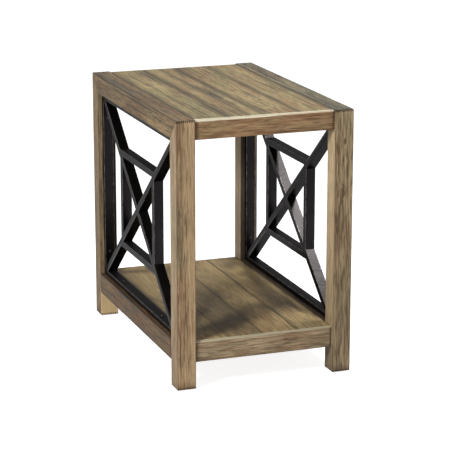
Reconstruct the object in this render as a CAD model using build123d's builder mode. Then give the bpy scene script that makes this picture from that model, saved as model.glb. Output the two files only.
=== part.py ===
from build123d import *
import os
from math import atan2, degrees, hypot

# Rustic end table: four square legs run into the side rails of the top through waterfall mitres,
# boarded top and shelf, and a welded steel lattice panel in each side.
# Millimetres. X is the width, Y the depth with the front at -Y, Z is up.
# The origin is on the floor, at the middle of the footprint.

# ---------------------------------------------------------------- driving dimensions
table_width = 422
table_depth = 652
table_height = 621

leg_size = 45
top_rail_height = 46
low_rail_height = 50
low_rail_lift = 64
apron_height = 46
apron_thickness = 20
apron_recess = 6
edge_easing = 1.5
foot_bevel = 2
lip_bevel = 4.5

plank_count = 4
plank_thickness = 20
plank_gap = 0.3
plank_bevel = 1.5
cleat_width = 40
cleat_thickness = 18
cleat_spacing = 360

side_tenon_thickness = 14
side_tenon_shoulder = 8
apron_tenon_thickness = 8
apron_tenon_shoulder = 5
mortise_wall = 4
spline_thickness = 4
spline_width = 12
spline_end_margin = 15
mitre_spline_length = 24
mitre_spline_width = 20
joint_clearance = 0.1
mortise_end_clearance = 0.5

frame_bar = 12
lattice_bar = 15
panel_depth = 24
tube_wall = 1.5
tube_easing = 0.8
panel_inset = 10.5
panel_clearance = 0.3
box_half_depth = 123
box_half_height = 113.5
strut_corner_offset = 5

wood_screw_radius = 2
wood_screw_length = 30
wood_screw_head_radius = 4
panel_screw_radius = 2
panel_screw_bite = 20
panel_screw_head_radius = 3.8
panel_screw_head_height = 2.2
panel_screw_corner_distance = 60
panel_screw_spacing = 300

glide_radius = 11
glide_thickness = 3
glide_nail_radius = 1.2
glide_nail_length = 14

notch_count = 8
notch_width = 2.4
notch_height = 3.5
notch_depth = 1.2

# ---------------------------------------------------------------- worked out from them
half_width = table_width / 2
half_depth = table_depth / 2
leg_inner_x = half_width - leg_size
leg_inner_y = half_depth - leg_size
top_rail_bottom = table_height - top_rail_height
shelf_top = low_rail_lift + low_rail_height
apron_outer_y = half_depth - apron_recess
apron_inner_y = apron_outer_y - apron_thickness
field_width = 2 * leg_inner_x
plank_pitch = field_width / plank_count
plank_width = plank_pitch - plank_gap
spline_run = 2 * (leg_inner_y - spline_end_margin)
front_tenon_inset = apron_recess + (apron_thickness + apron_tenon_thickness) / 2
side_tenon_length = leg_size - front_tenon_inset - mortise_wall
apron_tenon_length = (leg_size - spline_thickness) / 2 - mortise_wall
panel_middle_x = half_width - panel_inset - panel_depth / 2
opening_half_depth = leg_inner_y - panel_clearance
opening_half_height = (top_rail_bottom - shelf_top) / 2 - panel_clearance
panel_middle_z = (top_rail_bottom + shelf_top) / 2
LEFT, RIGHT = -1, 1
FRONT, BACK = -1, 1
SIDES = {"left": LEFT, "right": RIGHT}
ENDS = {"front": FRONT, "back": BACK}
BOTTOM = (Align.CENTER, Align.CENTER, Align.MIN)
TOP = (Align.CENTER, Align.CENTER, Align.MAX)

os.makedirs("parts", exist_ok=True)


def save(piece, name):
    """Label a finished piece and write it as its own file."""
    piece.part.label = name
    export_step(piece.part, f"parts/{name}.step")


def cut_box(centre, size):
    """Take a box out of the current part."""
    with Locations(centre):
        Box(*size, mode=Mode.SUBTRACT)


def mitre_point(distance, run, drop):
    """Where a bevel of that leg length crosses a mitre that falls by drop over run."""
    return distance * run / (run + drop), distance * drop / (run + drop)


# ---------------------------------------------------------------- screw places
# A seat plane lies under a screw's head and faces away from what the screw bites into.
def panel_screw_seats(side):
    """Seats on the inner faces of one panel's frame: per leg, then per rail."""
    x = side * panel_middle_x
    inner_y = opening_half_depth - frame_bar
    inner_z = opening_half_height - frame_bar
    reach_z = opening_half_height - panel_screw_corner_distance
    to_legs = {
        end: [
            Plane(origin=(x, end * inner_y, panel_middle_z + up * reach_z), z_dir=(0, -end, 0))
            for up in (-1, 1)
        ]
        for end in (FRONT, BACK)
    }
    to_rails = {
        up: [
            Plane(origin=(x, y, panel_middle_z + up * inner_z), z_dir=(0, 0, -up))
            for y in (-panel_screw_spacing / 2, panel_screw_spacing / 2)
        ]
        for up in (-1, 1)
    }
    return to_legs, to_rails


def bore(seats, radius, depth):
    """Drill straight holes from seat planes into the current part."""
    with Locations(*[seat.location for seat in seats]):
        Cylinder(radius, depth, align=TOP, mode=Mode.SUBTRACT)


panel_screw_length = frame_bar + panel_clearance + panel_screw_bite
panel_bore = (panel_screw_radius + joint_clearance, panel_screw_length + mortise_end_clearance)

# ---------------------------------------------------------------- legs
# The top of a leg is cut away by the waterfall mitre that it shares with the side rail.
mitre_y, mitre_z = mitre_point(edge_easing, leg_size, top_rail_height)
apron_mitre_drop = front_tenon_inset * top_rail_height / leg_size
apron_tenon_top = table_height - max(plank_thickness, apron_mitre_drop) - apron_tenon_shoulder
shelf_tenon_top = shelf_top - plank_thickness - apron_tenon_shoulder
apron_tenon_y = apron_outer_y - apron_thickness / 2


def mitre_key(end, x, clearance=0, mode=Mode.ADD):
    """Loose key across a waterfall mitre, or its mortise, centred on the joint."""
    middle = Plane(
        origin=(x, end * (half_depth - leg_size / 2), table_height - top_rail_height / 2),
        x_dir=(0, end * leg_size, top_rail_height),
        z_dir=(1, 0, 0),
    )
    with Locations(middle.location):
        Box(
            mitre_spline_length + 2 * clearance,
            mitre_spline_width + 2 * clearance,
            spline_thickness + 2 * clearance,
            mode=mode,
        )


def tenon_height(bottom, top):
    """Height and middle of a front rail's tenon between its shoulders."""
    low = bottom + apron_tenon_shoulder
    return top - low, (top + low) / 2


apron_tenon_height, apron_tenon_z = tenon_height(table_height - apron_height, apron_tenon_top)
shelf_tenon_height, shelf_tenon_z = tenon_height(low_rail_lift, shelf_tenon_top)
side_tenon_height = low_rail_height - 2 * side_tenon_shoulder
side_tenon_z = low_rail_lift + low_rail_height / 2

for side_name, side in SIDES.items():
    for end_name, end in ENDS.items():
        leg_x = side * (half_width - leg_size / 2)
        leg_y = end * (half_depth - leg_size / 2)
        outer_y = end * half_depth
        inner_y = end * leg_inner_y
        with BuildPart() as leg:
            with BuildSketch(Plane.YZ.offset(leg_x - leg_size / 2)):
                Polygon(
                    (outer_y, glide_thickness),
                    (inner_y, glide_thickness),
                    (inner_y, top_rail_bottom),
                    (outer_y - end * mitre_y, table_height - mitre_z),
                    (outer_y, table_height - edge_easing),
                    align=None,
                )
            extrude(amount=leg_size)
            chamfer(leg.edges().group_by(Axis.Z)[0], length=foot_bevel)
            fillet(leg.edges().filter_by(Axis.Z), radius=edge_easing)
            # mortises for the lower side rail, the apron and the shelf rail
            mortise_depth = side_tenon_length + mortise_end_clearance
            cut_box(
                (leg_x, inner_y + end * mortise_depth / 2, side_tenon_z),
                (
                    side_tenon_thickness + 2 * joint_clearance,
                    mortise_depth,
                    side_tenon_height + 2 * joint_clearance,
                ),
            )
            front_mortise_depth = apron_tenon_length + mortise_end_clearance
            for middle_z, height in (
                (apron_tenon_z, apron_tenon_height),
                (shelf_tenon_z, shelf_tenon_height),
            ):
                cut_box(
                    (side * (leg_inner_x + front_mortise_depth / 2), end * apron_tenon_y, middle_z),
                    (
                        front_mortise_depth,
                        apron_tenon_thickness + 2 * joint_clearance,
                        height + 2 * joint_clearance,
                    ),
                )
            mitre_key(end, leg_x, joint_clearance, Mode.SUBTRACT)
            bore(panel_screw_seats(side)[0][end], *panel_bore)
            # nail hole of the foot glide
            with Locations((leg_x, leg_y, glide_thickness)):
                Cylinder(
                    glide_nail_radius + joint_clearance,
                    glide_nail_length + mortise_end_clearance,
                    align=BOTTOM,
                    mode=Mode.SUBTRACT,
                )
            # rasped notches in a row under the mitred edge
            notch_pitch = leg_size / (notch_count + 1)
            notch_bottom = table_height - edge_easing - notch_height
            with Locations((leg_x, outer_y, notch_bottom)):
                with GridLocations(notch_pitch, 0, notch_count, 1):
                    Box(
                        notch_width,
                        2 * notch_depth,
                        2 * notch_height,
                        align=BOTTOM,
                        mode=Mode.SUBTRACT,
                    )
        save(leg, f"leg_{end_name}_{side_name}")

# ---------------------------------------------------------------- side rails
spline_z = {"top": table_height - plank_thickness / 2, "shelf": shelf_top - plank_thickness / 2}


def spline_groove(x, z):
    """Stopped groove for a loose spline, centred on a joint line."""
    cut_box(
        (x, 0, z),
        (
            spline_width + 2 * joint_clearance,
            spline_run + 2 * joint_clearance,
            spline_thickness + 2 * joint_clearance,
        ),
    )


for side_name, side in SIDES.items():
    rail_x = side * (half_width - leg_size / 2)
    to_rails = panel_screw_seats(side)[1]
    with BuildPart() as top_rail:
        with BuildSketch(Plane.YZ.offset(rail_x - leg_size / 2)):
            Polygon(
                (-half_depth + edge_easing, table_height),
                (half_depth - edge_easing, table_height),
                (half_depth - mitre_y, table_height - mitre_z),
                (leg_inner_y, top_rail_bottom),
                (-leg_inner_y, top_rail_bottom),
                (-half_depth + mitre_y, table_height - mitre_z),
                align=None,
            )
        extrude(amount=leg_size)
        fillet(top_rail.edges().filter_by(Axis.Y), radius=edge_easing)
        spline_groove(side * leg_inner_x, spline_z["top"])
        for end in (FRONT, BACK):
            mitre_key(end, rail_x, joint_clearance, Mode.SUBTRACT)
        bore(to_rails[1], *panel_bore)
    save(top_rail, f"top_rail_{side_name}")

    with BuildPart() as low_rail:
        with Locations((rail_x, 0, low_rail_lift)):
            Box(leg_size, 2 * leg_inner_y, low_rail_height, align=BOTTOM)
        fillet(low_rail.edges().filter_by(Axis.Y), radius=edge_easing)
        with Locations((rail_x, 0, side_tenon_z)):
            Box(side_tenon_thickness, 2 * (leg_inner_y + side_tenon_length), side_tenon_height)
        spline_groove(side * leg_inner_x, spline_z["shelf"])
        bore(to_rails[-1], *panel_bore)
    save(low_rail, f"low_rail_{side_name}")

# ---------------------------------------------------------------- front and back rails
# Each is mitred along its top edge to the ends of the boards, and the shared edge is bevelled.
lip_y, lip_z = mitre_point(lip_bevel, apron_thickness, plank_thickness)


def front_rail(end, deck_top, height, tenon_z, tenon_tall):
    """Apron or shelf rail between two legs, with a tenon at each end."""
    outer_y = end * apron_outer_y
    inner_y = end * apron_inner_y
    bottom = deck_top - height
    with BuildPart() as rail:
        with BuildSketch(Plane.YZ.offset(-leg_inner_x)):
            Polygon(
                (outer_y, bottom),
                (inner_y, bottom),
                (inner_y, deck_top - plank_thickness),
                (outer_y - end * lip_y, deck_top - lip_z),
                (outer_y, deck_top - lip_bevel),
                align=None,
            )
        extrude(amount=field_width)
        long_low_edges = rail.edges().filter_by(Axis.X).group_by(Axis.Z)[0]
        fillet(long_low_edges, radius=edge_easing)
        with Locations((0, end * apron_tenon_y, tenon_z)):
            Box(2 * (leg_inner_x + apron_tenon_length), apron_tenon_thickness, tenon_tall)
    return rail


for end_name, end in ENDS.items():
    apron = front_rail(end, table_height, apron_height, apron_tenon_z, apron_tenon_height)
    save(apron, f"apron_{end_name}")
    shelf_rail = front_rail(end, shelf_top, low_rail_height, shelf_tenon_z, shelf_tenon_height)
    save(shelf_rail, f"shelf_rail_{end_name}")

# ---------------------------------------------------------------- boarded decks
# Boards run front to back, joined by loose splines and screwed from below to two cleats.
DECKS = {"top": table_height, "shelf": shelf_top}
plank_middles = [(i + 0.5) * plank_pitch - leg_inner_x for i in range(plank_count)]
joint_lines = [i * plank_pitch - leg_inner_x for i in range(plank_count + 1)]


def cleat_screw_seats(deck_top, xs, ys):
    """Seats on the underside of the cleats, facing down."""
    z = deck_top - plank_thickness - cleat_thickness
    return [Plane(origin=(x, y, z), z_dir=(0, 0, -1)) for x in xs for y in ys]


cleat_ys = [end * cleat_spacing / 2 for end in (FRONT, BACK)]
cleat_bore = (wood_screw_radius + joint_clearance, wood_screw_length + mortise_end_clearance)

for deck_name, deck_top in DECKS.items():
    for number, middle_x in enumerate(plank_middles, start=1):
        with BuildPart() as plank:
            with BuildSketch(Plane.YZ.offset(middle_x - plank_width / 2)):
                Polygon(
                    (-apron_outer_y + lip_bevel, deck_top),
                    (apron_outer_y - lip_bevel, deck_top),
                    (apron_outer_y - lip_y, deck_top - lip_z),
                    (apron_inner_y, deck_top - plank_thickness),
                    (-apron_inner_y, deck_top - plank_thickness),
                    (-apron_outer_y + lip_y, deck_top - lip_z),
                    align=None,
                )
            extrude(amount=plank_width)
            chamfer(plank.edges().filter_by(Axis.Y).group_by(Axis.Z)[-1], length=plank_bevel)
            for line_x in joint_lines[number - 1 : number + 1]:
                spline_groove(line_x, spline_z[deck_name])
            bore(cleat_screw_seats(deck_top, [middle_x], cleat_ys), *cleat_bore)
        save(plank, f"{deck_name}_plank_{number}")

    for end_name, end in ENDS.items():
        cleat_y = end * cleat_spacing / 2
        with BuildPart() as cleat:
            with Locations((0, cleat_y, deck_top - plank_thickness)):
                Box(field_width - 2 * plank_gap, cleat_width, cleat_thickness, align=TOP)
            chamfer(cleat.edges().group_by(Axis.Z)[0], length=edge_easing)
            seats = cleat_screw_seats(deck_top, plank_middles, [cleat_y])
            with Locations(*[seat.location for seat in seats]):
                CounterSinkHole(
                    wood_screw_radius + joint_clearance,
                    wood_screw_head_radius + joint_clearance,
                    depth=cleat_thickness,
                )
        save(cleat, f"{deck_name}_cleat_{end_name}")

# ---------------------------------------------------------------- loose splines and mitre keys
with BuildPart() as plank_splines:
    for deck_z in spline_z.values():
        with Locations(*[(x, 0, deck_z) for x in joint_lines]):
            Box(spline_width, spline_run, spline_thickness)
save(plank_splines, "plank_splines")

with BuildPart() as mitre_keys:
    for side in (LEFT, RIGHT):
        for end in (FRONT, BACK):
            mitre_key(end, side * (half_width - leg_size / 2))
save(mitre_keys, "mitre_keys")

# ---------------------------------------------------------------- screws under the cleats
with BuildPart() as cleat_screws:
    for deck_top in DECKS.values():
        seats = cleat_screw_seats(deck_top, plank_middles, cleat_ys)
        with Locations(*[seat.location for seat in seats]):
            Cylinder(wood_screw_radius, wood_screw_length, align=TOP)
            Cone(
                wood_screw_radius,
                wood_screw_head_radius,
                wood_screw_head_radius - wood_screw_radius,
                align=TOP,
            )
save(cleat_screws, "cleat_screws")

# ---------------------------------------------------------------- foot glides
with BuildPart() as foot_glides:
    with GridLocations(table_width - leg_size, table_depth - leg_size, 2, 2):
        Cylinder(glide_radius, glide_thickness, align=BOTTOM)
        Cylinder(glide_nail_radius, glide_thickness + glide_nail_length, align=BOTTOM)
save(foot_glides, "foot_glides")

# ---------------------------------------------------------------- lattice panels
# Welded rectangular tube: an outer frame, a box in its middle, four struts from the frame's
# corners to the box, and a cross inside the box in line with the struts.
window_half_depth = opening_half_depth - frame_bar
window_half_height = opening_half_height - frame_bar
box_outer = (2 * box_half_depth + lattice_bar, 2 * box_half_height + lattice_bar)
box_window = (2 * box_half_depth - lattice_bar, 2 * box_half_height - lattice_bar)
strut_slope = degrees(atan2(window_half_height, window_half_depth - strut_corner_offset))
strut_reach = hypot(opening_half_depth, opening_half_height)


def tube(side, direction, shape, seats=()):
    """Rectangular tube across the panel plane; shape(trim) draws it, narrower by trim."""
    x = side * panel_middle_x - panel_depth / 2
    with BuildPart() as bar:
        with BuildSketch(Plane.YZ.offset(x)):
            with Locations((0, panel_middle_z)):
                shape(0)
        extrude(amount=panel_depth)
        along = Axis((0, 0, 0), (0, *direction))
        fillet(bar.edges().filter_by(along), radius=tube_easing)
        with BuildSketch(Plane.YZ.offset(x + tube_wall)):
            with Locations((0, panel_middle_z)):
                shape(tube_wall)
        extrude(amount=panel_depth - 2 * tube_wall, mode=Mode.SUBTRACT)
        if seats:
            bore(seats, *panel_bore)
    return bar


def mitred_bar(half_y, half_z, width, up, across):
    """One of four bars mitred round a rectangle of that outer half size."""

    def shape(trim):
        if across:
            corners = [(-half_y, half_z), (half_y, half_z)]
            corners += [(half_y - width, half_z - width), (width - half_y, half_z - width)]
            middle = (0, half_z - width / 2)
            strip = (2 * half_y, width - 2 * trim)
        else:
            corners = [(half_y, -half_z), (half_y, half_z)]
            corners += [(half_y - width, half_z - width), (half_y - width, width - half_z)]
            middle = (half_y - width / 2, 0)
            strip = (width - 2 * trim, 2 * half_z)
        turn = 0 if up > 0 else 180
        with Locations(Location((0, 0), turn)):
            with Locations(middle):
                Rectangle(*strip)
            Polygon(*corners, align=None, mode=Mode.INTERSECT)

    return shape


def strut_strip(toward, trim, mode=Mode.ADD):
    """Half of a diagonal, from the panel's middle out past the frame's corner."""
    angle = degrees(atan2(toward[1], toward[0]))
    with Locations(Location((0, 0), angle)):
        Rectangle(
            strut_reach,
            lattice_bar - 2 * trim,
            align=(Align.MIN, Align.CENTER),
            mode=mode,
        )


def diagonal_direction(y_sign, z_sign):
    """Unit direction from the panel's middle along one diagonal."""
    ray = Vector(1, 0, 0).rotate(Axis.Z, strut_slope)
    return y_sign * ray.X, z_sign * ray.Y


def corner_strut(toward):
    """Diagonal between the box and a corner of the frame."""

    def shape(trim):
        strut_strip(toward, trim)
        Rectangle(2 * window_half_depth, 2 * window_half_height, mode=Mode.INTERSECT)
        Rectangle(*box_outer, mode=Mode.SUBTRACT)

    return shape


def whole_cross_bar(toward):
    """Diagonal right across the box's window."""

    def shape(trim):
        strut_strip(toward, trim)
        strut_strip((-toward[0], -toward[1]), trim)
        Rectangle(*box_window, mode=Mode.INTERSECT)

    return shape


def half_cross_bar(toward, crossing):
    """Diagonal from the box's corner to the side of the whole one."""

    def shape(trim):
        strut_strip(toward, trim)
        Rectangle(*box_window, mode=Mode.INTERSECT)
        strut_strip(crossing, 0, mode=Mode.SUBTRACT)
        strut_strip((-crossing[0], -crossing[1]), 0, mode=Mode.SUBTRACT)

    return shape


for side_name, side in SIDES.items():
    to_legs, to_rails = panel_screw_seats(side)
    box_y = box_half_depth + lattice_bar / 2
    box_z = box_half_height + lattice_bar / 2
    frame_size = (opening_half_depth, opening_half_height, frame_bar)
    box_size = (box_y, box_z, lattice_bar)
    for level, up in {"bottom": -1, "top": 1}.items():
        bar = tube(side, (1, 0), mitred_bar(*frame_size, up, True), to_rails[up])
        save(bar, f"{side_name}_frame_{level}")
        bar = tube(side, (1, 0), mitred_bar(*box_size, up, True))
        save(bar, f"{side_name}_box_{level}")
        for end_name, end in ENDS.items():
            toward = diagonal_direction(end, up)
            bar = tube(side, toward, corner_strut(toward))
            save(bar, f"{side_name}_strut_{level}_{end_name}")
    for end_name, end in ENDS.items():
        bar = tube(side, (0, 1), mitred_bar(*frame_size, end, False), to_legs[end])
        save(bar, f"{side_name}_frame_{end_name}")
        bar = tube(side, (0, 1), mitred_bar(*box_size, end, False))
        save(bar, f"{side_name}_box_{end_name}")
    whole = diagonal_direction(FRONT, 1)
    bar = tube(side, whole, whole_cross_bar(whole))
    save(bar, f"{side_name}_cross_whole")
    for level, toward in {"upper": (BACK, 1), "lower": (FRONT, -1)}.items():
        half = diagonal_direction(*toward)
        bar = tube(side, half, half_cross_bar(half, whole))
        save(bar, f"{side_name}_cross_{level}")

# ---------------------------------------------------------------- screws of the panels
with BuildPart() as panel_screws:
    for side in (LEFT, RIGHT):
        to_legs, to_rails = panel_screw_seats(side)
        seats = [seat for group in (*to_legs.values(), *to_rails.values()) for seat in group]
        with Locations(*[seat.location for seat in seats]):
            Cylinder(panel_screw_radius, panel_screw_length, align=TOP)
            Cylinder(panel_screw_head_radius, panel_screw_head_height, align=BOTTOM)
save(panel_screws, "panel_screws")
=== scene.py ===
from math import atan2, cos, pi, radians, sin
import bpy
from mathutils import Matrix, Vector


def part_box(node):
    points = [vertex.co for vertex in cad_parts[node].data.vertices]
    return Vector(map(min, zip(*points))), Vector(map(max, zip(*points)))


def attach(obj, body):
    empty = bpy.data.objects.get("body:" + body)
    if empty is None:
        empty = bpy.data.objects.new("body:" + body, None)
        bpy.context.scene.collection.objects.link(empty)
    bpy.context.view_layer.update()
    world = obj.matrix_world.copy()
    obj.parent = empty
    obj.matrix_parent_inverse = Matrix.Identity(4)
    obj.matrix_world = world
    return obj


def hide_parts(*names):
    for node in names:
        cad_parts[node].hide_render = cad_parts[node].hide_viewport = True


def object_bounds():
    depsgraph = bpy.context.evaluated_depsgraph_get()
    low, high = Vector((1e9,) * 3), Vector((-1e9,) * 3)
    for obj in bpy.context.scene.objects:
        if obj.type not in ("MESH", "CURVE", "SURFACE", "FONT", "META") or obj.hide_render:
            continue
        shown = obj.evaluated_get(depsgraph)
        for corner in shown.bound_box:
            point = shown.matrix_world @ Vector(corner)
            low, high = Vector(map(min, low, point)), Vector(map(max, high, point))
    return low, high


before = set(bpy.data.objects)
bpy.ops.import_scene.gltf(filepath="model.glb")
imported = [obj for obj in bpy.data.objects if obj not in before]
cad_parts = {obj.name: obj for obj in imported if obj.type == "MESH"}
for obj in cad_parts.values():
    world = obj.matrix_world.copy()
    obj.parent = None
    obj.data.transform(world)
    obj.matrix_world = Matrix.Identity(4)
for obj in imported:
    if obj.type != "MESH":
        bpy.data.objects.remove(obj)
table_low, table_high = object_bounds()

from types import SimpleNamespace

import bpy
from mathutils import Matrix, Vector

# ---------------------------------------------------------------- legs
# Four square legs sawn from solid hickory. Each is mitred at its top to a side rail, its arrises
# are eased by hand, and a row of small notches is rasped under the mitred edge. The saw has left
# faint marks across the grain, and the smoky glaze is darkest at the feet. The notches are dark
# with glaze and painted shade, and there is painted shade on the back legs behind the panels and
# on the front right leg under its low rail.
FRONT, BACK, LEFT, RIGHT = -1, 1, -1, 1
hand_easing = 0.0015
hand_wear = 0.0005
wear_step = 0.012
notch_count = 8
notch_pitch = 0.005
notch_size = (0.0024, 0.0024, 0.0070)
notch_bottom = table_high.z - 0.0050
foot_grime = 0.022


def sawn_block(name, low, high, along, step):
    """A block of timber with its place in its mesh, divided in short steps along its grain."""
    low, high = Vector(low), Vector(high)
    bpy.ops.object.select_all(action="DESELECT")
    bpy.ops.mesh.primitive_cube_add(size=1, location=(low + high) / 2, scale=high - low)
    bpy.ops.object.transform_apply(location=True, rotation=True, scale=True)
    block = bpy.context.object
    block.name = block.data.name = name
    axis = "XYZ".index(along)
    bpy.context.tool_settings.mesh_select_mode = (False, True, False)
    bpy.ops.object.mode_set(mode="EDIT")
    bpy.ops.mesh.select_all(action="DESELECT")
    bpy.ops.object.mode_set(mode="OBJECT")
    for edge in block.data.edges:
        ends = [block.data.vertices[i].co for i in edge.vertices]
        edge.select = abs(ends[0][axis] - ends[1][axis]) > (high - low)[axis] / 2
    bpy.ops.object.mode_set(mode="EDIT")
    bpy.ops.mesh.subdivide(number_cuts=round((high - low)[axis] / step))
    bpy.ops.object.mode_set(mode="OBJECT")
    return block


def saw_off(block, through, outwards):
    """Saw the block along a plane and drop what lies on its outward side."""
    bpy.ops.object.mode_set(mode="EDIT")
    bpy.ops.mesh.select_all(action="SELECT")
    bpy.ops.mesh.bisect(plane_co=through, plane_no=outwards, use_fill=True, clear_outer=True)
    bpy.ops.mesh.select_all(action="SELECT")
    bpy.ops.mesh.normals_make_consistent(inside=False)
    bpy.ops.object.mode_set(mode="OBJECT")


def apply_all(piece):
    """Apply the piece's modifiers in their order."""
    bpy.context.view_layer.objects.active = piece
    for modifier in list(piece.modifiers):
        bpy.ops.object.modifier_apply(modifier=modifier.name)


wear_pattern = bpy.data.textures.new("hand_worn", "CLOUDS")
wear_pattern.noise_scale = 0.035
wear_pattern.noise_depth = 2


def ease_arrises(block, width, wear, way="NORMAL"):
    """Round the square edges and wear the faces inwards unevenly, or downwards only with way Z."""
    bevel = block.modifiers.new("eased", "BEVEL")
    bevel.width = width
    bevel.segments = 3
    bevel.limit_method = "ANGLE"
    bevel.angle_limit = radians(40)
    worn = block.modifiers.new("worn", "DISPLACE")
    worn.texture = wear_pattern
    worn.texture_coords = "LOCAL"
    worn.direction = way
    worn.strength = wear
    worn.mid_level = 1.0
    apply_all(block)
    bpy.ops.object.shade_smooth_by_angle(angle=radians(38))
    flat = block.modifiers.new("flat_faces", "WEIGHTED_NORMAL")
    flat.keep_sharp = True
    apply_all(block)


def fit_piece(piece, slot, finish, *stands_for):
    """Hang a finished piece on the table's one body, in place of its plain solids."""
    piece.data.materials.clear()
    piece.data.materials.append(finish)
    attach(piece, "root")
    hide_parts(*stands_for)


class Finish:
    """A socket of a piece's finish. Sums written with it add Math nodes, and node adds any other."""

    def __init__(self, tree, socket=None):
        self.tree = tree
        self.socket = socket

    def node(self, kind, settings=None, inputs=None, out=0):
        """Add a node: first its settings, then the value or link of each input, named or numbered."""
        made = self.tree.nodes.new("ShaderNode" + kind)
        for setting, value in (settings or {}).items():
            setattr(made, setting, value)
        for place, value in (inputs or {}).items():
            if isinstance(value, Finish):
                self.tree.links.new(value.socket, made.inputs[place])
            else:
                made.inputs[place].default_value = value
        return Finish(self.tree, made.outputs[out] if made.outputs else None)

    def math(self, operation, *values):
        return self.node("Math", {"operation": operation}, dict(enumerate(values)))

    def __add__(self, other):
        return self.math("ADD", self, other)

    def __sub__(self, other):
        return self.math("SUBTRACT", self, other)

    def __rsub__(self, other):
        return self.math("SUBTRACT", other, self)

    def __mul__(self, other):
        return self.math("MULTIPLY", self, other)

    def __truediv__(self, other):
        return self.math("DIVIDE", self, other)

    def __abs__(self):
        return self.math("ABSOLUTE", self)

    __radd__ = __add__
    __rmul__ = __mul__

    def rise(self, low, high):
        """0 below low and 1 above high with a soft slope, or the other way round if low is the higher."""
        limits = {"Value": self, "From Min": low, "From Max": high}
        return self.node("MapRange", {"interpolation_type": "SMOOTHSTEP"}, limits)

    def parts(self):
        """The three parts of a vector."""
        return [self.node("SeparateXYZ", None, {0: self}, out) for out in "XYZ"]

    def times(self, factors):
        """A vector times another, part by part."""
        return self.node("VectorMath", {"operation": "MULTIPLY"}, {0: self, 1: factors})

    def tint(self, under, over):
        """Colour under, with colour over laid on by this share."""
        settings = {"data_type": "RGBA", "clamp_factor": True}
        return self.node("Mix", settings, {0: self, 6: under, 7: over}, 2)


def colour(red, green, blue):
    """A colour from a card, 0 to 255, as the linear one that a shader takes."""
    card = (red / 255, green / 255, blue / 255)
    return (*[c / 12.92 if c < 0.04 else ((c + 0.055) / 1.055) ** 2.4 for c in card], 1.0)


def new_finish(name):
    """An empty finish, and the start of its sums."""
    finish = bpy.data.materials.new(name)
    finish.use_nodes = True
    finish.node_tree.nodes.clear()
    return finish, Finish(finish.node_tree)


def close_finish(start, coat, height, depth, **constant):
    """The last nodes: relief from height, depth metres deep, one shader and the output."""
    relief = start.node("Bump", None, {"Strength": 1.0, "Distance": depth, "Height": height})
    shader = start.node("BsdfPrincipled", None, {**coat, "Normal": relief, **constant})
    start.node("OutputMaterial", None, {"Surface": shader})


# How a piece is turned so that its grain runs along the first axis of its figure.
grain_turns = {"X": (0, 0, 0), "Y": (0, 0, pi / 2), "Z": (0, -pi / 2, 0)}
grain_order = {"X": (0, 1, 2), "Y": (1, 0, 2), "Z": (2, 1, 0)}


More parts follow.
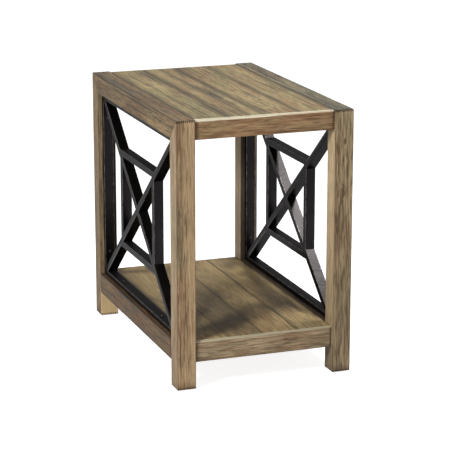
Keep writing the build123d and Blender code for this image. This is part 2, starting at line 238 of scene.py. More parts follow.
def hickory(name, along, low, high, heart, lean, sapwood, seed, tones, bold=0.6, pitted=0.7,
            smoky=1.0, knots=(), kerfs=0.0):
    """Antiqued hickory, to be finished by its piece. Its figure is cut from one round tree.

    heart and lean place the tree's middle line beside the piece and give its slope. sapwood is
    the radius at which the pale outer wood starts. tones are pale, body, brown, olive and glaze.
    bold is the strength of the streaks, pitted that of the open pores, smoky that of the cloudy
    glaze and kerfs that of the saw marks. Each knot has its place along, across and through the
    piece, and a size.
    """
    low, high = Vector(low), Vector(high)
    finish, start = new_finish(name)
    pale, body, brown, olive, glaze = tones
    half = [(high - low)[i] / 2 for i in grain_order[along]]

    place = start.node("TexCoord", out="Object")
    local = {"Vector": place, "Location": (low + high) / 2, "Rotation": grain_turns[along]}
    place = start.node("Mapping", {"vector_type": "TEXTURE"}, local)
    long, wide, deep = place.parts()
    shift = (seed * 0.37, seed * 0.71, seed * 0.53)
    drift = start.node("VectorMath", {"operation": "ADD"}, {0: place, 1: shift})

    def figure(lengthways, across, detail=2.0, out="Fac"):
        """Noise drawn out along the grain, in features to the metre."""
        drawn = drift.times((lengthways, across, across))
        return start.node("TexNoise", None, {"Vector": drawn, "Scale": 1.0, "Detail": detail}, out)

    # year rings, pushed aside by each knot
    _, wander_wide, wander_deep = figure(2.2, 9.0, out="Color").parts()
    off_wide = wide - heart[0] - long * lean[0] + (wander_wide - 0.5) * 0.040
    off_deep = deep - heart[1] - long * lean[1] + (wander_deep - 0.5) * 0.030
    radius = start.math("SQRT", off_wide * off_wide + off_deep * off_deep)
    cores = 0.0
    for knot_long, knot_wide, knot_deep, knot_size in knots:
        to_knot = (long - knot_long) / (2.6 * knot_size)
        beside = (wide - knot_wide) / (1.3 * knot_size)
        inside = (deep - knot_deep) / (1.3 * knot_size)
        away = to_knot * to_knot + beside * beside + inside * inside
        bulge = start.math("EXPONENT", away * -1.0)
        radius = radius + bulge * (1.8 * knot_size)
        cores = bulge.rise(0.70, 0.95) + cores
    fibre = figure(16.0, 640.0, 3.0)
    years = radius / 0.0060 + figure(6.0, 120.0) * 0.9
    year = years.math("FRACT", years)
    mark = start.node("TexWhiteNoise", {"noise_dimensions": "1D"}, {"W": years.math("FLOOR", years)})
    late = year.rise(0.30, 0.85) * year.rise(1.0, 0.90) * (mark * 0.75 + 0.25)
    sap = radius.rise(sapwood - 0.006, sapwood + 0.006)

    # colour: broad bands, patches, rings, streaks, open pores and the smoke of the glaze
    broad = figure(2.2, 44.0, 3.0)
    patch = figure(4.6, 15.0)
    blush = figure(12.0, 46.0, 1.0)
    streak = figure(4.0, 105.0, 2.5)
    thread = figure(9.0, 270.0)
    fleck = figure(25.0, 400.0, 1.0)
    dash = fleck.rise(0.53, 0.63)
    pores = figure(48.0, 1400.0, 1.0).rise(0.44, 0.36) * (1 - late)
    cloud = figure(3.4, 12.0, 3.0)
    tone = broad.rise(0.38, 0.60).tint(body, pale)
    tone = (patch.rise(0.50, 0.66) * 0.75).tint(tone, brown)
    tone = (patch.rise(0.50, 0.34) * 0.70).tint(tone, olive)
    tone = (blush.rise(0.52, 0.68) * 0.45).tint(tone, brown)
    tone = (blush.rise(0.48, 0.32) * 0.45).tint(tone, olive)
    tone = (sap * 0.75).tint(tone, pale)
    tone = (late * (0.80 - sap * 0.45)).tint(tone, brown)
    tone = (streak.rise(0.44, 0.30) * (0.65 * bold)).tint(tone, pale)
    tone = (thread.rise(0.42, 0.30) * 0.40 + fleck.rise(0.46, 0.36) * 0.45).tint(tone, pale)
    dark = streak.rise(0.53, 0.66) * (0.60 * bold) + thread.rise(0.54, 0.66) * (0.34 * pitted)
    dark = dark + dash * (0.60 * pitted) + pores * 0.35 + late * 0.18
    dark = dark + cloud.rise(0.50, 0.70) * (0.28 * smoky) + fibre.rise(0.56, 0.34) * 0.18
    tone = (dark * (1 - sap * 0.4)).tint(tone, glaze)
    height = fibre * 0.45 + late * 0.35 - pores * 0.6 - dash * 0.35 + patch
    if knots:
        tone = (cores * 0.8).tint(tone, glaze)
    if kerfs:
        cut = figure(420.0, 50.0, 1.0).rise(0.54, 0.68) * cloud.rise(0.40, 0.56) * kerfs
        tone = (cut * 0.35).tint(tone, glaze)
        height = height - cut * 0.4

    # the arris is the middle one of the three distances to the block's faces
    to_end, to_side, to_face = half[0] - abs(long), half[1] - abs(wide), half[2] - abs(deep)
    nearer = start.math("MINIMUM", to_side, to_face)
    farther = start.math("MAXIMUM", to_side, to_face)
    to_arris = start.math("MAXIMUM", nearer, start.math("MINIMUM", farther, to_end))
    to_arris = to_arris + (broad - 0.5) * 0.006 + (fibre - 0.5) * 0.002
    rough = 0.58 + fibre * 0.16 - late * 0.08
    return finish, SimpleNamespace(
        start=start, long=long, wide=wide, deep=deep, to_end=to_end, to_side=to_side,
        to_arris=to_arris, fibre=fibre, patch=patch, cloud=cloud, tone=tone, glaze=glaze,
        height=height, rough=rough,
    )


def close_hickory(wood, tone):
    """Close a piece of hickory with its last tone, in a dull wax."""
    coat = {"Base Color": tone, "Roughness": wood.rough}
    close_finish(wood.start, coat, wood.height, 0.0004, **{"Specular IOR Level": 0.25})


def on_face(across, half):
    """1 on the flat of the face that lies half away from the piece's middle, and 0 inside it."""
    return across.rise(half - 0.0030, half - 0.0010)


leg_woods = {
    "front_left": SimpleNamespace(
        heart=(0.012, 0.055), lean=(0.03, 0.02), sapwood=0.068, seed=11.3, bold=0.3, pitted=0.8,
        smoky=0.5, kerfs=0.40,
        tones=(colour(186, 158, 121), colour(160, 134, 101), colour(135, 101, 71),
               colour(139, 129, 99), colour(80, 62, 42)),
    ),
    "front_right": SimpleNamespace(
        heart=(-0.046, -0.010), lean=(0.02, 0.03), sapwood=0.040, seed=23.9, bold=0.10, pitted=1.0,
        smoky=0.3, kerfs=0.3, knots=((0.116, -0.0225, 0.001, 0.008), (0.236, -0.0225, -0.002, 0.006)),
        tones=(colour(196, 174, 136), colour(162, 141, 108), colour(132, 101, 70),
               colour(137, 125, 94), colour(74, 58, 41)),
    ),
    "back_left": SimpleNamespace(
        heart=(0.040, 0.030), lean=(0.02, 0.03), sapwood=0.075, seed=37.1, bold=0.5, smoky=0.7,
        kerfs=0.3,
        tones=(colour(158, 136, 102), colour(134, 115, 85), colour(108, 85, 59),
               colour(117, 105, 78), colour(67, 52, 36)),
    ),
    "back_right": SimpleNamespace(
        heart=(0.030, -0.042), lean=(0.03, 0.02), sapwood=0.055, seed=41.7, bold=0.4, kerfs=0.3,
        tones=(colour(172, 150, 118), colour(146, 124, 96), colour(116, 92, 68),
               colour(124, 114, 90), colour(68, 56, 44)),
    ),
}

notch_glaze_and_shade, pale_foot_tone, pale_side = colour(44, 34, 25), colour(214, 186, 140), colour(112, 123, 110)
rail_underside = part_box("low_rail_left")[0].z
panel_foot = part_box("left_frame_bottom")[0].z

for end_name, end in {"front": FRONT, "back": BACK}.items():
    for side_name in ("left", "right"):
        low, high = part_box(f"leg_{end_name}_{side_name}")
        high.z = table_high.z
        outer_y = table_high.y * end
        middle_x = (low.x + high.x) / 2
        drop = table_high.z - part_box(f"top_rail_{side_name}")[0].z
        leg = sawn_block(f"{end_name}_{side_name}_leg", low, high, "Z", wear_step)
        saw_off(leg, (0, outer_y, table_high.z), (0, -end * drop, high.y - low.y))
        ease_arrises(leg, hand_easing, hand_wear)

        first_x = middle_x - notch_pitch * (notch_count - 1) / 2
        notch_at = (first_x, outer_y, notch_bottom + notch_size[2] / 2)
        bpy.ops.object.select_all(action="DESELECT")
        bpy.ops.mesh.primitive_cube_add(size=1, location=notch_at, scale=notch_size)
        rasp = bpy.context.object
        row = rasp.modifiers.new("row", "ARRAY")
        row.count = notch_count
        row.use_relative_offset = False
        row.use_constant_offset = True
        row.constant_offset_displace = (notch_pitch / notch_size[0], 0, 0)
        rasped = leg.modifiers.new("notches", "BOOLEAN")
        rasped.object = rasp
        rasped.solver = "EXACT"
        apply_all(leg)
        bpy.data.objects.remove(rasp)

        of_leg = leg_woods[f"{end_name}_{side_name}"]
        finish, wood = hickory(f"{end_name}_{side_name}_leg_wood", "Z", low, high, **vars(of_leg))
        half_leg, middle_z = (high.x - low.x) / 2, (low.z + high.z) / 2
        rail_line, panel_line = rail_underside - middle_z, panel_foot - middle_z
        tone = (wood.to_arris.rise(0.0030, 0.0008) * 0.40).tint(wood.tone, wood.glaze)
        above_floor = wood.long + (high.z - low.z) / 2 + (wood.cloud - 0.5) * 0.03
        tone = (above_floor.rise(foot_grime, 0.001) * 0.60).tint(tone, wood.glaze)
        if (end, side_name) == (FRONT, "left"):
            on_side = on_face(wood.deep, half_leg)
            tone = (on_side * 0.14).tint(tone, pale_side)
            low_on_side = on_side * (wood.long + (wood.cloud - 0.5) * 0.3).rise(0.02, -0.20)
            tone = (low_on_side * 0.15).tint(tone, wood.glaze)
            strip = wood.deep.rise(0.006, 0.013) * wood.to_side.rise(0.003, 0.0005)
            strip = strip * (wood.long + (wood.cloud - 0.5) * 0.5).rise(-0.05, 0.12)
            tone = (strip * 0.30).tint(tone, wood.glaze)
        if (end, side_name) == (FRONT, "right"):
            tone = (wood.long.rise(0.16, -0.20) * 0.36).tint(tone, wood.glaze)
            # Painted shade on the leg's inner face under the low rail.
            painted_shade_under_rail = wood.long.rise(rail_line + 0.012, rail_line - 0.002)
            tone = (on_face(wood.deep, half_leg) * painted_shade_under_rail * 0.60).tint(tone, wood.glaze)
        # Painted shade on the back legs' front faces behind the panels.
        if end == BACK:
            inwards = wood.deep if side_name == "right" else 0.0 - wood.deep
            painted_shade_behind_panel = wood.long.rise(panel_line - 0.027, panel_line - 0.007)
            painted_shade_behind_panel = painted_shade_behind_panel * inwards.rise(-0.018, 0.016)
            on_front = on_face(0.0 - wood.wide, half_leg)
            tone = (on_front * painted_shade_behind_panel * 0.85).tint(tone, wood.glaze)
        # The back left leg is paler on the front of its foot, below the low rail.
        if (end, side_name) == (BACK, "left"):
            paler_foot = on_front * wood.long.rise(rail_line + 0.018, rail_line - 0.002)
            tone = (paler_foot * 0.85).tint(tone, pale_foot_tone)
        # Dark ticks in the notches: glaze and painted shade.
        ticks = wood.deep / notch_pitch + 0.5 * (notch_count + 1)
        ticks = abs(ticks.math("FRACT", ticks) - 0.5).rise(0.34, 0.22)
        under_edge = wood.to_end.rise(0.0062, 0.0045) * wood.to_side.rise(0.0030, 0.0015)
        tone = (ticks * under_edge * 0.90).tint(tone, notch_glaze_and_shade)
        close_hickory(wood, tone)
        fit_piece(leg, "leg_wood", finish, f"leg_{end_name}_{side_name}")

# ---------------------------------------------------------------- side rails of the top
# One hickory rail each side, as wide as the legs and mitred down into them at both ends. Its
# upper face is the plain strip beside the boards, with the glaze left thick along its arrises.
rail_woods = {
    "left": SimpleNamespace(
        heart=(0.010, -0.060), lean=(0.02, 0.04), sapwood=0.200, seed=53.3, bold=0.8,
        tones=(colour(144, 121, 82), colour(112, 96, 68), colour(106, 74, 44),
               colour(94, 90, 68), colour(42, 34, 25)),
    ),
    "right": SimpleNamespace(
        heart=(-0.015, 0.055), lean=(0.03, 0.03), sapwood=0.200, seed=61.9, bold=0.9, pitted=1.0,
        tones=(colour(142, 131, 100), colour(119, 108, 83), colour(102, 81, 58),
               colour(99, 98, 78), colour(42, 38, 31)),
    ),
}

for side_name in ("left", "right"):
    low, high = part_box(f"top_rail_{side_name}")
    leg_low, leg_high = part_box(f"leg_front_{side_name}")
    low.y, high.y = table_low.y, table_high.y
    rail = sawn_block(f"{side_name}_top_rail", low, high, "Y", wear_step)
    for end in (FRONT, BACK):
        mitre = (0, end * (high.z - low.z), leg_low.y - leg_high.y)
        saw_off(rail, (0, end * table_high.y, high.z), mitre)
    ease_arrises(rail, hand_easing, hand_wear)
    finish, wood = hickory(f"{side_name}_top_rail_wood", "Y", low, high, **vars(rail_woods[side_name]))
    tone = (wood.to_arris.rise(0.0050, 0.0012) * 0.75).tint(wood.tone, wood.glaze)
    if side_name == "left":
        tone = (on_face(wood.deep, (high.z - low.z) / 2) * 0.16).tint(tone, wood.glaze)
    close_hickory(wood, tone)
    fit_piece(rail, "rail_wood", finish, f"top_rail_{side_name}")

# ---------------------------------------------------------------- lower side rails
# One hickory rail each side, tenoned into the legs. Its upper face is flush with the shelf, and
# the lattice panel stands on it. The strip between the two is painted dark, for glaze and for
# painted shade beside the panel's foot.
low_rail_woods = {
    "left": SimpleNamespace(
        heart=(0.020, 0.050), lean=(0.04, 0.03), sapwood=0.2, seed=71.7, bold=0.9, smoky=1.3,
        tones=(colour(116, 90, 53), colour(82, 64, 37), colour(90, 54, 26),
               colour(63, 60, 40), colour(30, 24, 17)),
    ),
    "right": SimpleNamespace(
        heart=(0.015, -0.045), lean=(0.02, 0.05), sapwood=0.2, seed=83.3, bold=0.9, smoky=1.3,
        tones=(colour(134, 108, 70), colour(102, 83, 54), colour(104, 72, 42),
               colour(82, 78, 56), colour(40, 33, 24)),
    ),
}

for side_name in ("left", "right"):
    low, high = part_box(f"low_rail_{side_name}")
    leg_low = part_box(f"leg_back_{side_name}")[0]
    low.y, high.y = -leg_low.y, leg_low.y
    rail = sawn_block(f"{side_name}_low_rail", low, high, "Y", wear_step)
    ease_arrises(rail, hand_easing, hand_wear)
    of_rail = low_rail_woods[side_name]
    finish, wood = hickory(f"{side_name}_low_rail_wood", "Y", low, high, **vars(of_rail))
    tone = (wood.to_arris.rise(0.0060, 0.0010) * 0.70).tint(wood.tone, wood.glaze)
    tone = (wood.to_end.rise(0.0060, 0.0010) * 0.50).tint(tone, wood.glaze)
    # Glaze and painted shade on the strip of the upper face beside the panel's foot.
    inwards = wood.wide if side_name == "right" else 0.0 - wood.wide
    glaze_and_shade_beside_panel = on_face(wood.deep, (high.z - low.z) / 2) * inwards.rise(0.0080, 0.0130)
    tone = (glaze_and_shade_beside_panel * 0.75).tint(tone, wood.glaze)
    close_hickory(wood, tone)
    fit_piece(rail, "rail_wood", finish, f"low_rail_{side_name}")

# ---------------------------------------------------------------- aprons and shelf rails
# Two aprons under the top and two rails under the shelf, of redder boards set a little behind
# the legs. Each meets the ends of the boards in a mitre. Their shared edge is bevelled and pale,
# partly wood worn bare and partly a painted highlight along the bevel. Their ends carry painted
# shade where they meet the legs.
lip_bevel = 0.0045
worn_and_highlit_lips = {"top": colour(216, 207, 182), "shelf": colour(186, 177, 150)}
inner_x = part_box("leg_front_right")[0].x
deck_end = -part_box("apron_front")[0].y
deck_tops = {"apron": table_high.z, "shelf_rail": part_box("shelf_plank_1")[1].z}
deck_of = {"apron": "top", "shelf_rail": "shelf"}
apron_tones = (colour(182, 150, 112), colour(158, 125, 90), colour(138, 98, 66),
               colour(148, 128, 90), colour(84, 62, 42))
shelf_rail_tones = (colour(184, 162, 130), colour(160, 138, 108), colour(136, 106, 78),
                    colour(148, 136, 104), colour(80, 64, 48))
apron_woods = {
    "apron_front": SimpleNamespace(
        heart=(0.050, 0.012), lean=(0.02, 0.03), sapwood=0.2, seed=97.1, bold=0.35,
        tones=apron_tones),
    "apron_back": SimpleNamespace(
        heart=(-0.044, 0.010), lean=(0.03, 0.02), sapwood=0.2, seed=103.7, bold=0.35,
        tones=apron_tones),
    "shelf_rail_front": SimpleNamespace(
        heart=(0.046, -0.008), lean=(0.02, 0.04), sapwood=0.2, seed=109.9, bold=0.35,
        tones=shelf_rail_tones),
    "shelf_rail_back": SimpleNamespace(
        heart=(0.042, 0.012), lean=(0.02, 0.02), sapwood=0.2, seed=127.3, bold=0.35,
        tones=shelf_rail_tones),
}

for kind, deck_top in deck_tops.items():
    for end_name, end in {"front": FRONT, "back": BACK}.items():
        low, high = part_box(f"{kind}_{end_name}")
        low.x, high.x, high.z = -inner_x, inner_x, deck_top
        apron = sawn_block(f"{end_name}_{kind}", low, high, "X", wear_step)
        saw_off(apron, (0, end * deck_end, deck_top), (0, -end, 1))
        saw_off(apron, (0, end * deck_end, deck_top - lip_bevel), (0, end, 1))
        ease_arrises(apron, hand_easing / 2, hand_wear)
        of_apron = apron_woods[f"{kind}_{end_name}"]
        finish, wood = hickory(f"{end_name}_{kind}_wood", "X", low, high, **vars(of_apron))
        tone = (wood.to_arris.rise(0.0040, 0.0008) * 0.35).tint(wood.tone, wood.glaze)
        # Painted shade at both ends, where the legs stand proud and shade them.
        tone = (wood.to_end.rise(0.0070, 0.0030) * 0.80).tint(tone, wood.glaze)
        # The pale lip under the deck: worn bare wood and a painted highlight on the bevel.
        under_top = (high.z - low.z) / 2 - wood.deep + (wood.fibre - 0.5) * 0.003
        under_top = under_top + (wood.cloud - 0.5) * 0.006 + wood.long * 0.005
        tone = (under_top.rise(0.0050, 0.0034) * 0.90).tint(tone, worn_and_highlit_lips[deck_of[kind]])
        close_hickory(wood, tone)
        fit_piece(apron, "apron_wood", finish, f"{kind}_{end_name}")

# ---------------------------------------------------------------- boards of the top and the shelf
# Eight flat-sawn hickory boards, four to a deck, splined edge to edge. Their long edges are
# chamfered, and the glaze has pooled in broad soft bands along the joints. Their ends have the
# aprons' pale lip, and the shelf carries painted shadows and painted light at its back.
board_chamfer = 0.0015
joint_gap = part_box("top_plank_2")[0].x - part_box("top_plank_1")[1].x
joint_glaze = {"top": (0.0150, 0.75), "shelf": (0.0075, 0.45)}
# Painted shadows on the shelf, of the legs, the panels' bars and the back corner: place, reach, breadth,
# turn and depth of tone.
painted_shadow_marks = (
    (-0.050, -0.140, 0.150, 0.160, 0.00, 0.28),
    (-0.025, -0.190, 0.080, 0.040, 0.55, 0.80),
    (0.068, -0.130, 0.055, 0.032, 0.60, 0.60),
    (-0.110, -0.240, 0.080, 0.045, 0.45, 0.60),
    (-0.025, -0.080, 0.055, 0.150, 0.00, 0.62),
    (0.140, 0.275, 0.040, 0.045, 0.00, 0.65),
    (0.132, 0.020, 0.220, 0.022, 1.43, 0.70),
    (-0.166, 0.000, 0.340, 0.016, pi / 2, 0.70),
    (0.170, 0.000, 0.340, 0.010, pi / 2, 0.80),
)
deck_woods = {
    "top": SimpleNamespace(
        bold=0.8, pitted=0.5,
        tones=(colour(168, 150, 107), colour(142, 125, 87), colour(131, 100, 68),
               colour(121, 119, 80), colour(60, 51, 36)),
    ),
    "shelf": SimpleNamespace(
        bold=0.2, pitted=0.35,
        tones=(colour(204, 178, 128), colour(177, 150, 104), colour(145, 114, 75),
               colour(152, 138, 94), colour(56, 46, 32)),
    ),
}
painted_light_gold = deck_woods["shelf"].tones[0]
dark_veins = {"top_plank_2": -0.0025}
board_woods = {
    "top_plank_1": SimpleNamespace(heart=(0.004, -0.050), lean=(0.05, 0.05), seed=131.1),
    "top_plank_2": SimpleNamespace(heart=(-0.020, -0.038), lean=(0.03, 0.07), seed=149.7),
    "top_plank_3": SimpleNamespace(heart=(0.012, -0.030), lean=(0.02, 0.08), seed=157.9,
                                   knots=((-0.15, -0.01, 0.010, 0.007),)),
    "top_plank_4": SimpleNamespace(heart=(-0.010, -0.044), lean=(0.04, 0.06), seed=163.3),
    "shelf_plank_1": SimpleNamespace(heart=(0.014, -0.048), lean=(0.02, 0.05), seed=173.9),
    "shelf_plank_2": SimpleNamespace(heart=(-0.008, -0.036), lean=(0.04, 0.06), seed=181.1),
    "shelf_plank_3": SimpleNamespace(heart=(0.018, -0.042), lean=(0.03, 0.07), seed=191.7),
    "shelf_plank_4": SimpleNamespace(heart=(-0.016, -0.034), lean=(0.02, 0.05), seed=199.3),
}

for node, of_board in board_woods.items():
    low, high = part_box(node)
    low.x, high.x = low.x - joint_gap / 2, high.x + joint_gap / 2
    low.y, high.y = -deck_end, deck_end
    low.z += hand_wear
    board = sawn_block(f"{node}_board", low, high, "Y", wear_step)
    for end in (FRONT, BACK):
        saw_off(board, (0, end * deck_end, high.z), (0, end, -1))
        saw_off(board, (0, end * (deck_end - lip_bevel), high.z), (0, end, 1))
    ease_arrises(board, board_chamfer, hand_wear, way="Z")
    deck = node.split("_")[0]
    finish, wood = hickory(f"{node}_wood", "Y", low, high, sapwood=0.095,
                           **vars(deck_woods[deck]), **vars(of_board))
    tone = wood.tone
    if deck == "shelf":
        # Painted light: the back of the shelf lightened towards gold.
        tone = (wood.long.rise(-0.04, 0.12) * 0.30).tint(tone, painted_light_gold)
        # Each mark is a painted shadow, laid on in the glaze colour.
        for at_x, at_y, reach, breadth, turn, depth in painted_shadow_marks:
            ragged = (wood.patch - 0.5) * min(0.10, 2.5 * breadth)
            east = ((low.x + high.x) / 2 - at_x) - wood.wide + ragged
            north = wood.long - at_y + (wood.cloud - 0.5) * 0.22
            along = (east * cos(turn) + north * sin(turn)) / reach
            beside = (north * cos(turn) - east * sin(turn)) / breadth
            mark = along.math("EXPONENT", (along * along + beside * beside) * -1.0)
            tone = (mark * depth).tint(tone, wood.glaze)
    if node in dark_veins:
        vein = abs(wood.wide - dark_veins[node]) + (wood.patch - 0.5) * 0.014
        tone = (vein.rise(0.0120, 0.0) * 0.60).tint(tone, wood.glaze)
    glaze_reach, glaze_depth = joint_glaze[deck]
    spread = wood.to_side + (wood.patch - 0.5) * 0.012 + (wood.fibre - 0.5) * 0.002
    pooled = spread.rise(glaze_reach, 0.0015) * (wood.cloud.rise(0.40, 0.60) * 0.45 + 0.70)
    tone = (pooled * glaze_depth).tint(tone, wood.glaze)
    tone = (wood.to_side.rise(0.0020, 0.0006) * 0.30).tint(tone, wood.glaze)
    # A pale lip at the ends: worn bare wood and a painted highlight on the bevel.
    worn_and_highlit_lip = wood.to_end + (wood.fibre - 0.5) * 0.004 + (wood.cloud - 0.5) * 0.008
    tone = (worn_and_highlit_lip.rise(0.0072, 0.0044) * 0.85).tint(tone, worn_and_highlit_lips[deck])
    close_hickory(wood, tone)
    fit_piece(board, f"{deck}_board", finish, node)

# ---------------------------------------------------------------- cleats, splines and mitre keys
# Plain inner timber without glaze: two cleats screwed across the underside of each deck, loose
# splines in the edges of the boards, and a loose key across each mitre.
inner_tones = (colour(184, 164, 130), colour(168, 146, 112), colour(150, 122, 90),
               colour(156, 144, 112), colour(112, 90, 66))
inner_grains = {
    "top_cleat_front": "X", "top_cleat_back": "X", "shelf_cleat_front": "X",
    "shelf_cleat_back": "X", "plank_splines": "Y", "mitre_keys": "X",
}

for number, (node, along) in enumerate(inner_grains.items()):
    low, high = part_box(node)
    finish, wood = hickory(f"{node}_wood", along, low, high, heart=(0.01, -0.06), lean=(0.03, 0.04),
                           sapwood=0.2, seed=211.0 + 7.3 * number, tones=inner_tones)
    close_hickory(wood, (wood.to_arris.rise(0.0020, 0.0004) * 0.30).tint(wood.tone, wood.glaze))
    if "cleat" in node:
        cleat = sawn_block(f"{node}_batten", low, high, along, wear_step)
        ease_arrises(cleat, hand_easing, hand_wear)
        fit_piece(cleat, "inner_wood", finish, node)
    else:
        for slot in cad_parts[node].material_slots:
            slot.material = finish

# ---------------------------------------------------------------- lattice panels
# Two panels welded from rectangular steel tube: a frame, a box in its middle, four struts and a
# cross. The steel is lightly hammered and blackened. Its edges are lighter, partly rubbed steel and
# partly a painted highlight.
black, rubbed_and_sheen_grey = colour(30, 28, 28), colour(92, 89, 88)
dull_edge = (0.43, 0.43, 0.43, 1.0)


def blackened_steel(name, middle, slope, half_across, half_deep):
    """Blackened tube. slope turns the pattern to follow a bar in the plane of its panel."""
    finish, start = new_finish(name)
    place = start.node("TexCoord", out="Object")
    local = {"Vector": place, "Location": middle, "Rotation": (slope, 0, 0)}
    place = start.node("Mapping", {"vector_type": "TEXTURE"}, local)
    deep, _, wide = place.parts()

    def speckle(scale, detail):
        return start.node("TexNoise", None, {"Vector": place, "Scale": scale, "Detail": detail})

    dents = speckle(110.0, 1.0)
    grit = speckle(700.0, 3.0)
    haze = speckle(14.0, 2.0)
    to_edge = start.math("MAXIMUM", half_across - abs(wide), half_deep - abs(deep))
    # Lighter along each arris: rubbed steel with a painted highlight.
    worn = (to_edge + (dents - 0.5) * 0.004).rise(0.0016, 0.0004)
    tone = (worn * 0.8 + haze.rise(0.50, 0.75) * 0.06).tint(black, rubbed_and_sheen_grey)
    facing_up = start.node("NewGeometry", out="Normal").parts()[2].rise(0.85, 0.95)
    coat = {"Base Color": tone, "Roughness": 0.20 + grit * 0.08 + haze * 0.08 + facing_up * 0.30}
    relief = dents + grit * 0.12
    close_finish(start, coat, relief, 0.00025, Metallic=0.8,
                 **{"Specular Tint": dull_edge, "Specular IOR Level": 0.22})
    return finish


for side_name in ("left", "right"):
    cross_low, cross_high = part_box(f"{side_name}_cross_whole")
    centre = (cross_low + cross_high) / 2
    half_deep = (cross_high.x - cross_low.x) / 2
    strut_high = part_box(f"{side_name}_strut_top_back")[1]
    slope = atan2(strut_high.z - centre.z, strut_high.y - centre.y)
    frame_low, frame_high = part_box(f"{side_name}_frame_top")
    box_low, box_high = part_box(f"{side_name}_box_top")
    for node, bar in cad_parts.items():
        if not node.startswith(side_name):
            continue
        low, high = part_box(node)
        if "strut" in node or "cross" in node:
            falling = node.endswith(("top_front", "bottom_back", "whole"))
            place, turn, width = centre, -slope if falling else slope, box_high.z - box_low.z
        else:
            frame_bar = "frame" in node
            place, turn = (low + high) / 2, pi / 2 if node.endswith(("front", "back")) else 0
            width = frame_high.z - frame_low.z if frame_bar else box_high.z - box_low.z
        finish = blackened_steel(f"{node}_black", place, turn, width / 2, half_deep)
        for slot in bar.material_slots:
            slot.material = finish

# ---------------------------------------------------------------- panel screws
# Sixteen black pan-headed screws with a cross recess fix the panels. They go through the tube
# from inside the frame, into the legs and the side rails.
pan_radius, pan_height, pan_dome, pan_recess = 0.0038, 0.0022, 0.0012, 0.0011
panel_x = (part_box("right_frame_top")[0].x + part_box("right_frame_top")[1].x) / 2


def turned_screw(name, radius, height, dome, recess):
    """A round head standing on the origin and facing up, with a cross recess and a short shank."""
    bpy.ops.object.select_all(action="DESELECT")
    bpy.ops.mesh.primitive_cylinder_add(vertices=32, radius=radius, depth=height,
                                        location=(0, 0, height / 2))
    bpy.ops.object.transform_apply(location=True)
    head = bpy.context.object
    head.name = head.data.name = name
    bpy.context.tool_settings.mesh_select_mode = (False, False, True)
    bpy.ops.object.mode_set(mode="EDIT")
    bpy.ops.mesh.select_all(action="DESELECT")
    bpy.ops.object.mode_set(mode="OBJECT")
    for face in head.data.polygons:
        face.select = face.normal.z > 0.9
    bpy.ops.object.mode_set(mode="EDIT")
    bpy.ops.mesh.bevel(offset=dome, segments=4, profile=0.5)
    bpy.ops.object.mode_set(mode="OBJECT")
    for face in head.data.polygons:
        face.select = face.normal.z < -0.9
    bpy.ops.object.mode_set(mode="EDIT")
    bpy.ops.mesh.inset(thickness=radius * 0.5)
    bpy.ops.mesh.extrude_region_move(TRANSFORM_OT_translate={"value": (0, 0, -height)})
    bpy.ops.object.mode_set(mode="OBJECT")
    for turn in (0, pi / 2):
        bpy.ops.object.select_all(action="DESELECT")
        size = (radius * 1.25, radius * 0.28, recess * 2)
        bpy.ops.mesh.primitive_cube_add(size=1, location=(0, 0, height), rotation=(0, 0, turn), scale=size)
        bit = bpy.context.object
        cut = head.modifiers.new("recess", "BOOLEAN")
        cut.object = bit
        cut.solver = "EXACT"
        apply_all(head)
        bpy.data.objects.remove(bit)
    bpy.ops.object.select_all(action="DESELECT")
    head.select_set(True)
    bpy.context.view_layer.objects.active = head
    bpy.ops.object.shade_smooth_by_angle(angle=radians(35))
    return head


def set_copies(pattern, name, seats):
    """Copies of the pattern, each turned to face its own way at its seat, joined as one piece."""
    bpy.ops.object.select_all(action="DESELECT")
    copies = []
    for seat, facing, turn in seats:
        copy = pattern.copy()
        copy.data = pattern.data.copy()
        bpy.context.scene.collection.objects.link(copy)
        towards = Vector(facing).to_track_quat("Z", "Y").to_matrix().to_4x4()
        copy.data.transform(Matrix.Translation(seat) @ towards @ Matrix.Rotation(turn, 4, "Z"))
        copy.select_set(True)
        copies.append(copy)
    bpy.data.objects.remove(pattern)
    bpy.context.view_layer.objects.active = copies[0]
    bpy.ops.object.join()
    copies[0].name = copies[0].data.name = name
    return copies[0]


window_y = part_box("right_frame_front")[1].y
window_low, window_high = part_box("right_frame_bottom")[1].z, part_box("right_frame_top")[0].z
panel_middle = (window_low + window_high) / 2
panel_low, panel_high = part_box("right_frame_bottom")[0].z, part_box("right_frame_top")[1].z
corner_distance, rail_screw = 0.060, 0.150
upright_screw = (panel_high - panel_low) / 2 - corner_distance
pan_seats = []
for side in (LEFT, RIGHT):
    x = side * panel_x
    for end in (FRONT, BACK):
        for up in (-1, 1):
            seat = (x, -end * window_y, panel_middle + up * upright_screw)
            pan_seats.append((seat, (0, -end, 0), 0.4 * len(pan_seats)))
            seat = (x, end * rail_screw, window_high if up > 0 else window_low)
            pan_seats.append((seat, (0, 0, -up), 0.4 * len(pan_seats)))

pan_finish, start = new_finish("blackened_screw")
place = start.node("TexCoord", out="Object")
speck = start.node("TexNoise", None, {"Vector": place, "Scale": 900.0, "Detail": 2.0})
tone = speck.rise(0.40, 0.70).tint(black, rubbed_and_sheen_grey)
close_finish(start, {"Base Color": tone, "Roughness": 0.40 + speck * 0.12}, speck, 0.00005,
             Metallic=0.8, **{"Specular Tint": dull_edge, "Specular IOR Level": 0.22})
pan_screws = set_copies(turned_screw("pan_screw", pan_radius, pan_height, pan_dome, pan_recess),
                        "panel_pan_screws", pan_seats)
fit_piece(pan_screws, "black_screw", pan_finish, "panel_screws")

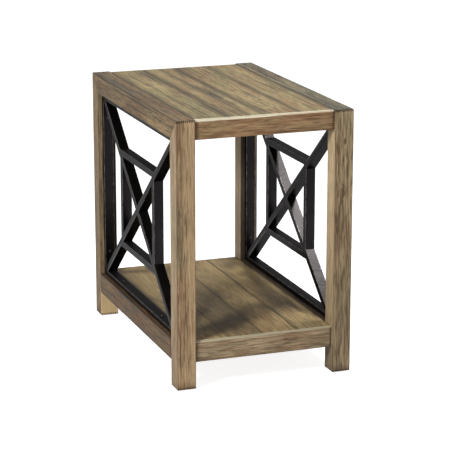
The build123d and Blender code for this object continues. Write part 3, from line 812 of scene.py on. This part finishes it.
# ---------------------------------------------------------------- cleat screws
# Sixteen zinc-plated countersunk screws, driven up through the cleats into the boards, one
# through each crossing.
flat_radius, flat_height, flat_dome, flat_recess = 0.0040, 0.0012, 0.0003, 0.0010
cleat_y = (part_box("top_cleat_back")[0].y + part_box("top_cleat_back")[1].y) / 2
flat_seats = []
for deck in ("top", "shelf"):
    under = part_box(f"{deck}_cleat_front")[0].z
    for number in range(1, 5):
        board_low, board_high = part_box(f"{deck}_plank_{number}")
        for end in (FRONT, BACK):
            seat = ((board_low.x + board_high.x) / 2, end * cleat_y, under + flat_height * 0.8)
            flat_seats.append((seat, (0, 0, -1), 0.7 * len(flat_seats)))

flat_finish, start = new_finish("zinc_plate")
place = start.node("TexCoord", out="Object")
speck = start.node("TexNoise", None, {"Vector": place, "Scale": 500.0, "Detail": 2.0})
tone = speck.rise(0.30, 0.70).tint(colour(150, 150, 146), colour(188, 184, 170))
close_finish(start, {"Base Color": tone, "Roughness": 0.30 + speck * 0.15}, speck, 0.00005, Metallic=1.0)
flat_screws = set_copies(turned_screw("flat_screw", flat_radius, flat_height, flat_dome, flat_recess),
                         "cleat_flat_screws", flat_seats)
fit_piece(flat_screws, "zinc_screw", flat_finish, "cleat_screws")

# ---------------------------------------------------------------- glides
# A turned disc of pale plastic under each leg, with a rounded edge. A nail in the dish in its
# middle holds it to the end of the leg.
glide_radius, glide_height, glide_easing = 0.011, 0.003, 0.0010
glide_ring, glide_dish = 0.0060, 0.0010
nail_gap, nail_head = 0.0007, 0.0004
bpy.ops.object.select_all(action="DESELECT")
bpy.ops.mesh.primitive_cylinder_add(vertices=48, radius=glide_radius, depth=glide_height,
                                    location=(0, 0, glide_height / 2))
bpy.ops.object.transform_apply(location=True)
glide = bpy.context.object


def pick_underside():
    """Select the widest downward face of the glide in edit mode."""
    bpy.ops.mesh.select_all(action="DESELECT")
    bpy.ops.object.mode_set(mode="OBJECT")
    downward = [face for face in glide.data.polygons if face.normal.z < -0.99]
    max(downward, key=lambda face: face.area).select = True
    bpy.ops.object.mode_set(mode="EDIT")


bpy.context.tool_settings.mesh_select_mode = (False, False, True)
bpy.ops.object.mode_set(mode="EDIT")
pick_underside()
bpy.ops.mesh.bevel(offset=glide_easing, segments=3, profile=0.5)
pick_underside()
bpy.ops.mesh.inset(thickness=glide_ring)
bpy.ops.mesh.extrude_region_move(TRANSFORM_OT_translate={"value": (0, 0, glide_dish)})
bpy.ops.mesh.inset(thickness=nail_gap)
bpy.ops.mesh.extrude_region_move(TRANSFORM_OT_translate={"value": (0, 0, -nail_head)})
for step, rise in ((0.0007, 0.0002), (0.0009, 0.0001)):
    bpy.ops.mesh.inset(thickness=step, depth=rise)
bpy.ops.object.mode_set(mode="OBJECT")
bpy.ops.object.shade_smooth_by_angle(angle=radians(35))

leg_middle = [(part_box("leg_back_right")[0][i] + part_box("leg_back_right")[1][i]) / 2 for i in (0, 1)]
feet = [((side * leg_middle[0], end * leg_middle[1], 0.0), (0, 0, 1), 0.0)
        for side in (LEFT, RIGHT) for end in (FRONT, BACK)]
glide_finish, start = new_finish("glide_plastic")
place = start.node("TexCoord", out="Object")
speck = start.node("TexNoise", None, {"Vector": place, "Scale": 300.0, "Detail": 3.0})
tone = speck.rise(0.30, 0.70).tint(colour(206, 202, 192), colour(184, 178, 166))
close_finish(start, {"Base Color": tone, "Roughness": 0.45 + speck * 0.12}, speck, 0.0001)
fit_piece(set_copies(glide, "turned_glides", feet), "glide", glide_finish, "foot_glides")

# ---------------------------------------------------------------- floor
# A wide matt white floor. It is lifted a little for the camera only, so that it is shown as white
# wherever the table doesn't shade it.
floor_paint, floor_lift = (0.8, 0.8, 0.8, 1), 0.86
bpy.ops.object.select_all(action="DESELECT")
bpy.ops.mesh.primitive_circle_add(vertices=96, radius=24.0, fill_type="NGON", location=(0, 0, 0))
floor = bpy.context.object
floor.name = "studio_floor"


def seen_rays(start):
    """1 for rays from the camera, and for those that metal or glass sends on."""
    kinds = ("Is Camera Ray", "Is Glossy Ray", "Is Transmission Ray")
    camera_ray, glossy_ray, clear_ray = (start.node("LightPath", out=kind) for kind in kinds)
    return start.math("MAXIMUM", camera_ray, start.math("MAXIMUM", glossy_ray, clear_ray))


floor_finish, start = new_finish("floor_white")
matt = start.node("BsdfDiffuse", None, {"Color": floor_paint})
white = start.node("Emission", None, {"Color": (1, 1, 1, 1), "Strength": floor_lift})
lifted = start.node("AddShader", None, {0: matt, 1: white})
shown = start.node("MixShader", None, {0: seen_rays(start), 1: matt, 2: lifted})
start.node("OutputMaterial", None, {"Surface": shown})
floor.data.materials.append(floor_finish)

# ---------------------------------------------------------------- light
# A room that is seen as white but lights the table softly, a key softbox at the front left, and a
# second softbox high over the table's right side.
room_light = 0.25
room = bpy.data.worlds.new("white_room")
room.use_nodes = True
room.node_tree.nodes.clear()
start = Finish(room.node_tree)
level = seen_rays(start) * (1 - room_light) + room_light
walls = start.node("Background", None, {"Color": (1, 1, 1, 1), "Strength": level})
start.node("OutputWorld", None, {"Surface": walls})
bpy.context.scene.world = room


def softbox(name, place, size, card):
    """A square lamp aimed at the table. card is how bright it makes a white card that faces it."""
    lamp = bpy.data.lights.new(name, "AREA")
    lamp.shape = "SQUARE"
    lamp.size = size
    away = Vector(place) - Vector((0, 0, 0.3))
    lamp.energy = card * pi * pi * away.length_squared
    stand = bpy.data.objects.new(name, lamp)
    bpy.context.scene.collection.objects.link(stand)
    stand.location = place
    stand.rotation_mode = "QUATERNION"
    stand.rotation_quaternion = away.to_track_quat("Z", "Y")


softbox("key", (-2.00, -1.30, 1.60), 0.50, 0.84)
softbox("overhead", (1.00, -0.20, 2.30), 0.46, 0.60)

# ---------------------------------------------------------------- camera
# A long lens in front of the table and to its left, about 1.5 m above the floor. It looks at a
# point that lies a little aside from the table's middle and above or below it.
azimuth, elevation = radians(19.952), radians(14.628)
distance = 4.5933
aside, above = 0.01973, -0.01920
camera = bpy.data.objects.new("camera", bpy.data.cameras.new("camera"))
bpy.context.scene.collection.objects.link(camera)
camera.data.lens = 153.04
camera.data.sensor_width = 36.0
camera.data.clip_end = 100.0
forward = Vector((sin(azimuth) * cos(elevation), cos(azimuth) * cos(elevation), -sin(elevation)))
right = Vector((cos(azimuth), -sin(azimuth), 0))
middle = Vector((0, 0, table_high.z / 2)) + right * aside + right.cross(forward) * above
camera.location = middle - forward * distance
camera.rotation_mode = "QUATERNION"
camera.rotation_quaternion = forward.to_track_quat("-Z", "Y")
bpy.context.scene.camera = camera
bpy.context.scene.view_settings.view_transform = "Standard"
